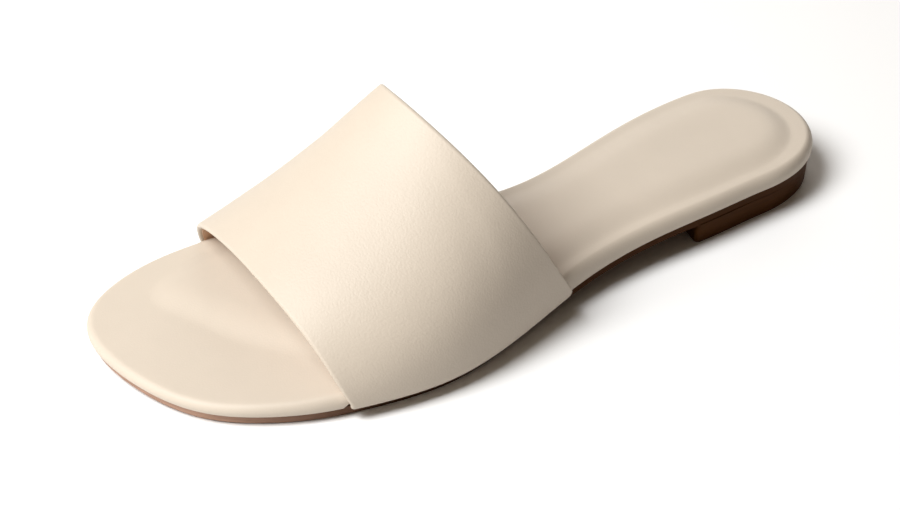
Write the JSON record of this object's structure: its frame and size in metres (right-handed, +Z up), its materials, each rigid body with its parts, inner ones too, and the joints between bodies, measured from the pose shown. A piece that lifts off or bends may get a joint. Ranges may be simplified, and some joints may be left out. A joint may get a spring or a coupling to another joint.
{
  "type": "slide sandal",
  "caption": "Flat open-toe slide sandal with a wide leather band over the instep, a cushioned leather footbed, a thin brown outsole and a low block heel.",
  "frame": {"origin": "on the floor under the middle of the shoe's box", "axes": "+Z up, +Y from toe to heel, +X to the outer side"},
  "size_m": [0.0997, 0.2486, 0.0666],
  "materials": {
    "outsole_brown": "dark brown sole leather, edge dyed and burnished",
    "heel_brown": "dark brown stacked heel, side dyed and burnished",
    "footbed_leather": "smooth cream lining leather over a soft cushion",
    "band_leather": "cream grained leather, soft satin"
  },
  "bodies": {
    "root": {"outsole": "outsole_brown", "heel": "heel_brown", "footbed": "footbed_leather", "upper_band": "band_leather"}
  },
  "joints": []
}
